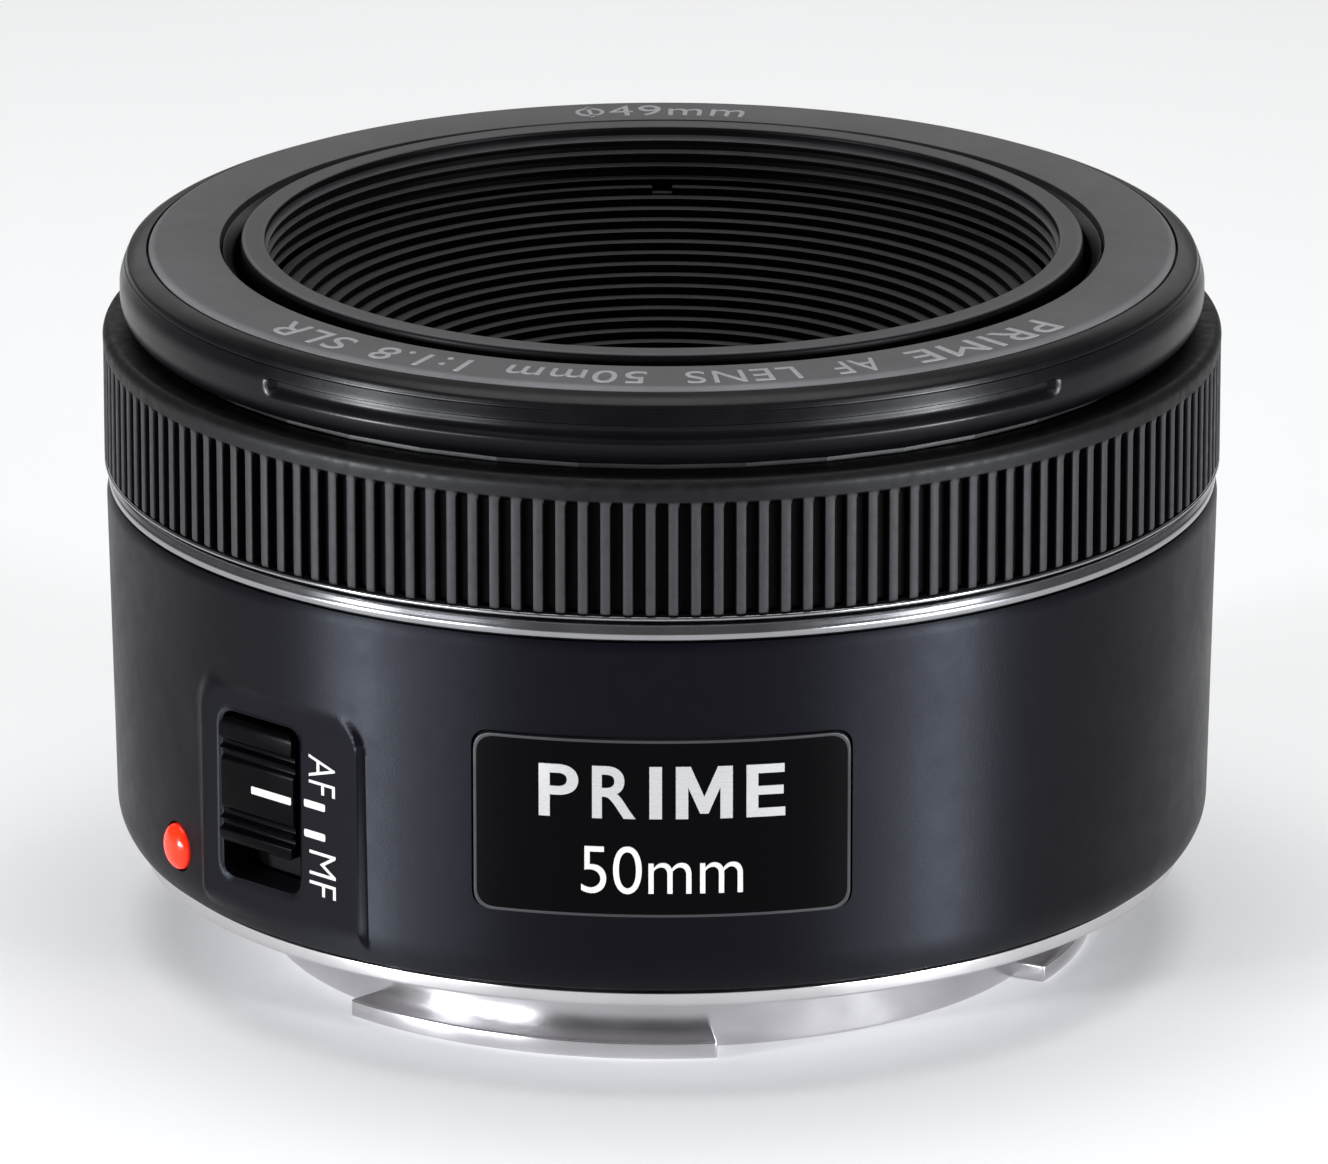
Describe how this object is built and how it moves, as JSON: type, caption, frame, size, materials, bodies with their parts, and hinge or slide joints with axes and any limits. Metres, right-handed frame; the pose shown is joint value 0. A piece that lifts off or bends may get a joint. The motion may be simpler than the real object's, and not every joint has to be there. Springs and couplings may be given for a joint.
{
  "type": "prime camera lens",
  "caption": "Fast standard prime lens for a camera, with a bayonet mount, a ribbed focus ring, a focus mode switch, a filter thread and an iris.",
  "frame": {"origin": "on the optical axis, at the rear end of the bayonet, where the lens stands when it is set down front up", "axes": "+Z along the optical axis from the mount to the front; the nameplate faces -Y and +X is to the right of someone who reads it"},
  "size_m": [0.0692, 0.0692, 0.0447],
  "materials": {
    "shell_plastic": "fine satin black moulding",
    "face_plastic": "matte dark grey, lettered",
    "gloss_plate": "gloss black",
    "matte_black": "matte black against stray light",
    "trim_metal": "polished dark trim",
    "mount_steel": "bright plated steel",
    "screw_steel": "satin",
    "contact_gold": "gold plated",
    "index_red": "gloss red",
    "optical_glass": "coated optical glass",
    "circuit_board": "solder mask green",
    "brass_parts": "satin",
    "blade_black": "dry black coating",
    "white_nylon": "moulded nylon"
  },
  "bodies": {
    "housing": {"bayonet_mount": "mount_steel", "mount_screw_1": "screw_steel", "mount_screw_2": "screw_steel", "mount_screw_3": "screw_steel", "mount_screw_4": "screw_steel", "rear_cover": "matte_black", "contact_block": "matte_black", "contact_pin_1": "contact_gold", "contact_pin_2": "contact_gold", "contact_pin_3": "contact_gold", "contact_pin_4": "contact_gold", "contact_pin_5": "contact_gold", "contact_pin_6": "contact_gold", "contact_pin_7": "contact_gold", "contact_screw_1": "screw_steel", "contact_screw_2": "screw_steel", "main_board": "circuit_board", "outer_barrel": "shell_plastic", "name_plate": "gloss_plate", "mount_index_dot": "index_red", "switch_plate": "blade_black", "trim_ring": "trim_metal", "front_ring": "shell_plastic", "front_face_ring": "face_plastic", "fixed_barrel": "matte_black", "focus_motor": "screw_steel", "focus_sensor": "screw_steel"},
    "focus_ring": {"focus_ring": "shell_plastic"},
    "switch_knob": {"switch_knob": "shell_plastic"},
    "lens_group": {"lens_barrel": "matte_black", "guide_pin_1": "brass_parts", "guide_pin_2": "brass_parts", "guide_pin_3": "brass_parts", "filter_barrel": "shell_plastic", "front_baffle": "matte_black", "lens_1": "optical_glass", "lens_2": "optical_glass", "lens_3": "optical_glass", "lens_4": "optical_glass", "lens_5": "optical_glass", "lens_6": "optical_glass", "front_cell": "matte_black", "rear_cell": "matte_black", "front_retaining_ring": "matte_black", "rear_retaining_ring": "matte_black", "aperture_housing": "matte_black", "aperture_motor": "screw_steel"},
    "cam_ring": {"cam_ring": "blade_black"},
    "focus_idler": {"focus_idler": "white_nylon"},
    "focus_pinion": {"focus_pinion": "brass_parts"},
    "aperture_ring": {"aperture_ring": "brass_parts"},
    "aperture_pinion": {"aperture_pinion": "brass_parts"},
    "aperture_blade_1": {"aperture_blade_1": "blade_black"},
    "aperture_blade_2": {"aperture_blade_2": "blade_black"},
    "aperture_blade_3": {"aperture_blade_3": "blade_black"},
    "aperture_blade_4": {"aperture_blade_4": "blade_black"},
    "aperture_blade_5": {"aperture_blade_5": "blade_black"},
    "aperture_blade_6": {"aperture_blade_6": "blade_black"},
    "aperture_blade_7": {"aperture_blade_7": "blade_black"}
  },
  "joints": [
    {"name": "focus_ring_turn", "type": "hinge", "parent": "housing", "child": "focus_ring", "pos_m": [0, 0, 0.0345], "axis": [0, 0, 1], "continuous": true},
    {"name": "switch_slide", "type": "slide", "parent": "housing", "child": "switch_knob", "axis": [0, 0, -1], "range_m": [0, 0.0019]},
    {"name": "focus_slide", "type": "slide", "parent": "housing", "child": "lens_group", "axis": [0, 0, 1], "range_m": [0, 0.0075]},
    {"name": "cam_turn", "type": "hinge", "parent": "housing", "child": "cam_ring", "pos_m": [0, 0, 0.016], "axis": [0, 0, 1], "range_deg": [0, 75.2]},
    {"name": "focus_idler_turn", "type": "hinge", "parent": "housing", "child": "focus_idler", "pos_m": [0.01352, 0.02543, 0.0105], "axis": [0, 0, 1], "range_deg": [-827, 0]},
    {"name": "focus_pinion_turn", "type": "hinge", "parent": "housing", "child": "focus_pinion", "pos_m": [0.01005, 0.02742, 0.0105], "axis": [0, 0, 1], "range_deg": [0, 1240]},
    {"name": "aperture_ring_turn", "type": "hinge", "parent": "lens_group", "child": "aperture_ring", "pos_m": [0, 0, 0.0145], "axis": [0, 0, 1], "range_deg": [0, 35]},
    {"name": "aperture_pinion_turn", "type": "hinge", "parent": "lens_group", "child": "aperture_pinion", "pos_m": [0.00754, -0.01546, 0.0145], "axis": [0, 0, 1], "range_deg": [-342, 0]},
    {"name": "aperture_blade_1_turn", "type": "hinge", "parent": "lens_group", "child": "aperture_blade_1", "pos_m": [0, -0.017, 0.015], "axis": [0, 0, 1], "range_deg": [0, 28.1]},
    {"name": "aperture_blade_2_turn", "type": "hinge", "parent": "lens_group", "child": "aperture_blade_2", "pos_m": [0.01329, -0.0106, 0.0153], "axis": [0, 0, 1], "range_deg": [0, 28.1]},
    {"name": "aperture_blade_3_turn", "type": "hinge", "parent": "lens_group", "child": "aperture_blade_3", "pos_m": [0.01657, 0.00378, 0.0156], "axis": [0, 0, 1], "range_deg": [0, 28.1]},
    {"name": "aperture_blade_4_turn", "type": "hinge", "parent": "lens_group", "child": "aperture_blade_4", "pos_m": [0.00738, 0.01532, 0.0159], "axis": [0, 0, 1], "range_deg": [0, 28.1]},
    {"name": "aperture_blade_5_turn", "type": "hinge", "parent": "lens_group", "child": "aperture_blade_5", "pos_m": [-0.00738, 0.01532, 0.0162], "axis": [0, 0, 1], "range_deg": [0, 28.1]},
    {"name": "aperture_blade_6_turn", "type": "hinge", "parent": "lens_group", "child": "aperture_blade_6", "pos_m": [-0.01657, 0.00378, 0.0165], "axis": [0, 0, 1], "range_deg": [0, 28.1]},
    {"name": "aperture_blade_7_turn", "type": "hinge", "parent": "lens_group", "child": "aperture_blade_7", "pos_m": [-0.01329, -0.0106, 0.0168], "axis": [0, 0, 1], "range_deg": [0, 28.1]}
  ],
  "couplings": [
    {"joint": "cam_turn", "follows": "focus_slide", "rad_per_m": 174.53},
    {"joint": "focus_idler_turn", "follows": "focus_slide", "rad_per_m": -1919.9},
    {"joint": "focus_pinion_turn", "follows": "focus_slide", "rad_per_m": 2879.8},
    {"joint": "aperture_pinion_turn", "follows": "aperture_ring_turn", "ratio": -9.75},
    {"joint": "aperture_blade_1_turn", "follows": "aperture_ring_turn", "ratio": 0.8},
    {"joint": "aperture_blade_2_turn", "follows": "aperture_ring_turn", "ratio": 0.8},
    {"joint": "aperture_blade_3_turn", "follows": "aperture_ring_turn", "ratio": 0.8},
    {"joint": "aperture_blade_4_turn", "follows": "aperture_ring_turn", "ratio": 0.8},
    {"joint": "aperture_blade_5_turn", "follows": "aperture_ring_turn", "ratio": 0.8},
    {"joint": "aperture_blade_6_turn", "follows": "aperture_ring_turn", "ratio": 0.8},
    {"joint": "aperture_blade_7_turn", "follows": "aperture_ring_turn", "ratio": 0.8}
  ]
}
